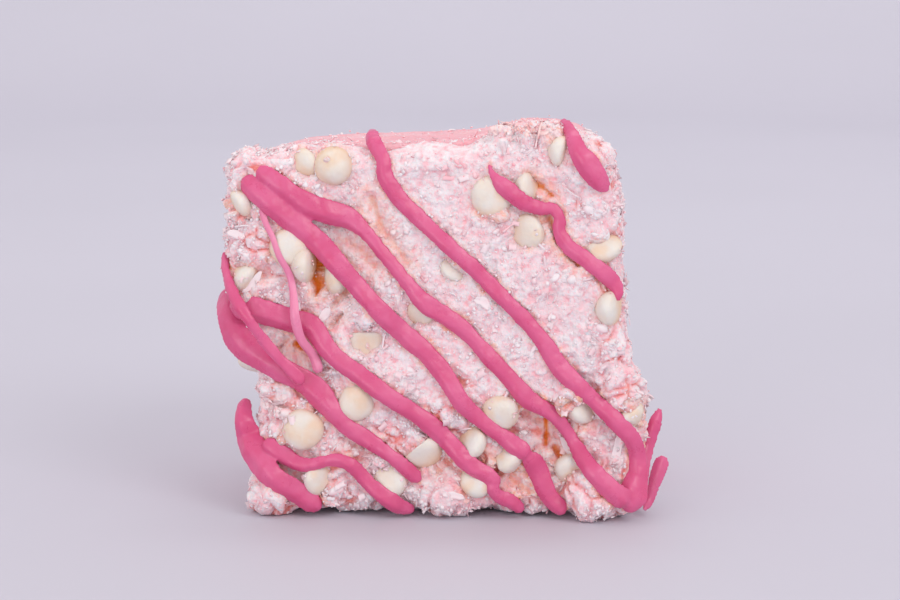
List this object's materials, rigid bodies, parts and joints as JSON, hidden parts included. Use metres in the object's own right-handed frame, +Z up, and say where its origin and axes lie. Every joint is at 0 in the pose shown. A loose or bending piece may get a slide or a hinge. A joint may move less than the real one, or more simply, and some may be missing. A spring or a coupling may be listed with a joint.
{
  "type": "coconut-topped marshmallow",
  "caption": "Square pink and white marbled marshmallow lying on its side, with a coconut crust, white chocolate chips and a pink chocolate drizzle on its topped face.",
  "frame": {"origin": "bottom centre of the bounding box, on the surface that the marshmallow lies on", "axes": "+Z up; -Y is the direction in which the coconut-topped face looks and +Y points to the moulded base; +X runs to the right along the topped face as seen from the front"},
  "size_m": [0.055, 0.039, 0.0478],
  "materials": {
    "marshmallow_foam": "soft, matt and finely porous, pink with wavy white marbling",
    "coconut": "fine dry coconut shreds and flakes, tinted pale pink",
    "white_chocolate": "smooth satin ivory chocolate",
    "pink_chocolate": "smooth satin pink chocolate"
  },
  "bodies": {
    "root": {"foam": "marshmallow_foam", "crust": "coconut", "white_chip_01": "white_chocolate", "white_chip_02": "white_chocolate", "white_chip_03": "white_chocolate", "white_chip_04": "white_chocolate", "white_chip_05": "white_chocolate", "white_chip_06": "white_chocolate", "white_chip_07": "white_chocolate", "white_chip_08": "white_chocolate", "white_chip_09": "white_chocolate", "white_chip_10": "white_chocolate", "white_chip_11": "white_chocolate", "white_chip_12": "white_chocolate", "white_chip_13": "white_chocolate", "white_chip_14": "white_chocolate", "white_chip_15": "white_chocolate", "white_chip_16": "white_chocolate", "white_chip_17": "white_chocolate", "white_chip_18": "white_chocolate", "white_chip_19": "white_chocolate", "white_chip_20": "white_chocolate", "white_chip_21": "white_chocolate", "white_chip_22": "white_chocolate", "white_chip_23": "white_chocolate", "white_chip_24": "white_chocolate", "white_chip_25": "white_chocolate", "white_chip_26": "white_chocolate", "white_chip_27": "white_chocolate", "white_chip_28": "white_chocolate", "white_chip_29": "white_chocolate", "drizzle_thick_diagonal": "pink_chocolate", "drizzle_thick_tail": "pink_chocolate", "drizzle_middle_diagonal": "pink_chocolate", "drizzle_upper_diagonal": "pink_chocolate", "drizzle_right_tail": "pink_chocolate", "drizzle_right_spur": "pink_chocolate", "drizzle_lower_diagonal": "pink_chocolate", "drizzle_lower_stub": "pink_chocolate", "drizzle_left_pool": "pink_chocolate", "drizzle_left_loop": "pink_chocolate", "drizzle_thread": "pink_chocolate", "drizzle_corner_pool": "pink_chocolate", "drizzle_corner_branch": "pink_chocolate", "drizzle_top_drop": "pink_chocolate", "drizzle_top_wave": "pink_chocolate"}
  },
  "joints": []
}
